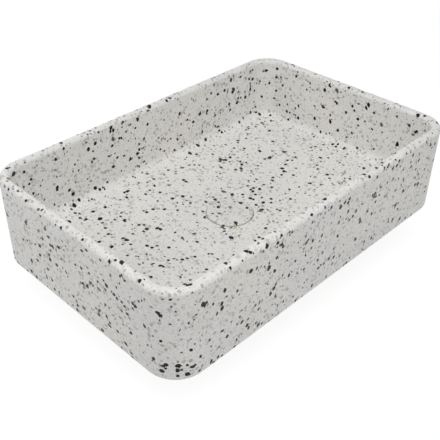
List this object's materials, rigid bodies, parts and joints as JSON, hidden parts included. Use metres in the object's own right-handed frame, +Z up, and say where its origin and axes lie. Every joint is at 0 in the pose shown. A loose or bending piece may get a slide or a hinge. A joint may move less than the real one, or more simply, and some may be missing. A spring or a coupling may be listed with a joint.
{
  "type": "washbasin",
  "caption": "Rectangular countertop washbasin cast in terrazzo concrete, with rounded corners, a coved bowl, and a push-open waste under a matching drain cap.",
  "frame": {"origin": "middle of the basin's flat underside, on the axis of the waste", "axes": "+X along the basin's length, +Y across its width from the front to the back, +Z up out of the bowl"},
  "size_m": [0.5, 0.325, 0.186],
  "materials": {
    "terrazzo": "satin",
    "chromed_brass": "polished",
    "plain_brass": "satin",
    "stainless_steel": "satin",
    "white_acetal": "matte",
    "clear_nylon": "satin",
    "black_rubber": "matte"
  },
  "bodies": {
    "basin_body": {"basin": "terrazzo", "waste_body": "chromed_brass", "flange_gasket": "black_rubber", "tapered_gasket": "black_rubber", "friction_washer": "clear_nylon", "back_nut": "plain_brass", "collar_washer": "clear_nylon", "cartridge_sleeve": "chromed_brass", "cartridge_guide": "white_acetal", "stem_oring": "black_rubber", "cartridge_end_plug": "plain_brass", "cartridge_spring": "stainless_steel"},
    "plug": {"drain_cap": "terrazzo", "cap_carrier": "chromed_brass", "plug_seal": "black_rubber", "seal_retainer": "stainless_steel", "carrier_nut": "plain_brass", "stem_lock_nut": "plain_brass", "cartridge_stem": "stainless_steel", "stem_clip": "stainless_steel"},
    "rotor": {"cartridge_rotor": "white_acetal"}
  },
  "joints": [
    {"name": "plug_slide", "type": "slide", "parent": "basin_body", "child": "plug", "axis": [0, 0, 1], "range_m": [-0.0008, 0.009], "deforming": ["cartridge_spring"]},
    {"name": "rotor_index", "type": "hinge", "parent": "plug", "child": "rotor", "pos_m": [0, 0, -0.022], "axis": [0, 0, 1], "range_deg": [-4, 45]}
  ],
  "couplings": [
    {"joint": "rotor_index", "follows": "plug_slide", "rad_per_m": 87.2}
  ]
}
